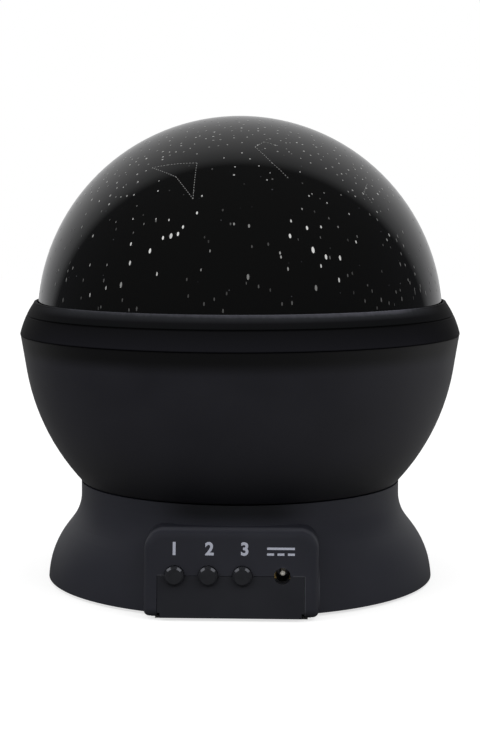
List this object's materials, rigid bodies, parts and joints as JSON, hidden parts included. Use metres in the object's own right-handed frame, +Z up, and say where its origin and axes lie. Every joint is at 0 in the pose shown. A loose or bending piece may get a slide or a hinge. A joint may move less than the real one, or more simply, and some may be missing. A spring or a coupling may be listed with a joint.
{
  "type": "planetarium projector",
  "caption": "Ball-shaped star projector night light: a dark star dome and bowl turn on a flared battery base with push buttons and a DC inlet.",
  "frame": {"origin": "on the turning axis, at the height of the rubber feet's underside", "axes": "+Z up along the turning axis, the button panel faces -Y, +X is to the right of someone who looks at the panel"},
  "size_m": [0.1252, 0.1252, 0.1319],
  "materials": {
    "soft_black_plastic": "soft-touch matt",
    "gloss_black_plastic": "moulded gloss",
    "printed_dome": "clear shell printed black, with clear dots",
    "button_plastic": "moulded satin",
    "foot_rubber": "matt",
    "screw_steel": "zinc plated",
    "nickel_strip": "nickel plated",
    "cell_jacket": "plain sleeve",
    "board_laminate": "solder mask",
    "lamp_board_laminate": "white solder mask",
    "component_black": "moulded",
    "plunger_plastic": "moulded",
    "inlet_plastic": "moulded",
    "pin_brass": "bright",
    "acetal": "moulded",
    "motor_steel": "bright",
    "white_plastic": "moulded",
    "clear_led": "clear",
    "tinted_led": "tinted",
    "lead_pvc": "satin"
  },
  "bodies": {
    "base": {"base_shell": "soft_black_plastic", "bottom_cover": "soft_black_plastic", "rubber_feet": "foot_rubber", "cover_screws": "screw_steel", "battery_cells": "cell_jacket", "battery_springs": "nickel_strip", "contact_plates": "nickel_strip", "control_board": "board_laminate", "control_chip": "component_black", "board_parts": "component_black", "tact_switches": "component_black", "dc_inlet": "inlet_plastic", "dc_inlet_pin": "pin_brass", "gearbox_case": "acetal", "motor_can": "motor_steel", "motor_screws": "screw_steel", "lamp_post": "white_plastic", "post_screws": "screw_steel", "thrust_washer": "acetal", "retaining_clip": "nickel_strip", "lamp_board": "lamp_board_laminate", "white_led": "clear_led", "colour_leds": "tinted_led", "lamp_leads": "lead_pvc"},
    "ball": {"bowl": "soft_black_plastic", "turntable_gear": "acetal", "gear_screws": "screw_steel", "reflector_tray": "white_plastic", "tray_screws": "screw_steel", "collar": "gloss_black_plastic", "collar_screws": "screw_steel", "dome_ring": "gloss_black_plastic", "star_dome": "printed_dome"},
    "pinion": {"output_shaft": "motor_steel", "drive_pinion": "acetal"},
    "battery_door": {"battery_door": "soft_black_plastic", "door_screw": "screw_steel"},
    "button_1": {"button_1": "button_plastic", "switch_plunger_1": "plunger_plastic"},
    "button_2": {"button_2": "button_plastic", "switch_plunger_2": "plunger_plastic"},
    "button_3": {"button_3": "button_plastic", "switch_plunger_3": "plunger_plastic"}
  },
  "joints": [
    {"name": "ball_spin", "type": "hinge", "parent": "base", "child": "ball", "pos_m": [0, 0, 0.03], "axis": [0, 0, 1], "continuous": true},
    {"name": "pinion_spin", "type": "hinge", "parent": "base", "child": "pinion", "pos_m": [0.0288, 0, 0.022], "axis": [0, 0, 1], "continuous": true},
    {"name": "battery_door_swing", "type": "hinge", "parent": "base", "child": "battery_door", "pos_m": [0, 0.0289, 0.0008], "axis": [1, 0, 0], "range_deg": [0, 25]},
    {"name": "button_1_press", "type": "slide", "parent": "base", "child": "button_1", "axis": [0, 1, 0], "range_m": [0, 0.0005], "stiffness_N_per_m": 2000, "springref_m": -0.0003},
    {"name": "button_2_press", "type": "slide", "parent": "base", "child": "button_2", "axis": [0, 1, 0], "range_m": [0, 0.0005], "stiffness_N_per_m": 2000, "springref_m": -0.0003},
    {"name": "button_3_press", "type": "slide", "parent": "base", "child": "button_3", "axis": [0, 1, 0], "range_m": [0, 0.0005], "stiffness_N_per_m": 2000, "springref_m": -0.0003}
  ],
  "couplings": [
    {"joint": "pinion_spin", "follows": "ball_spin", "ratio": -5}
  ]
}
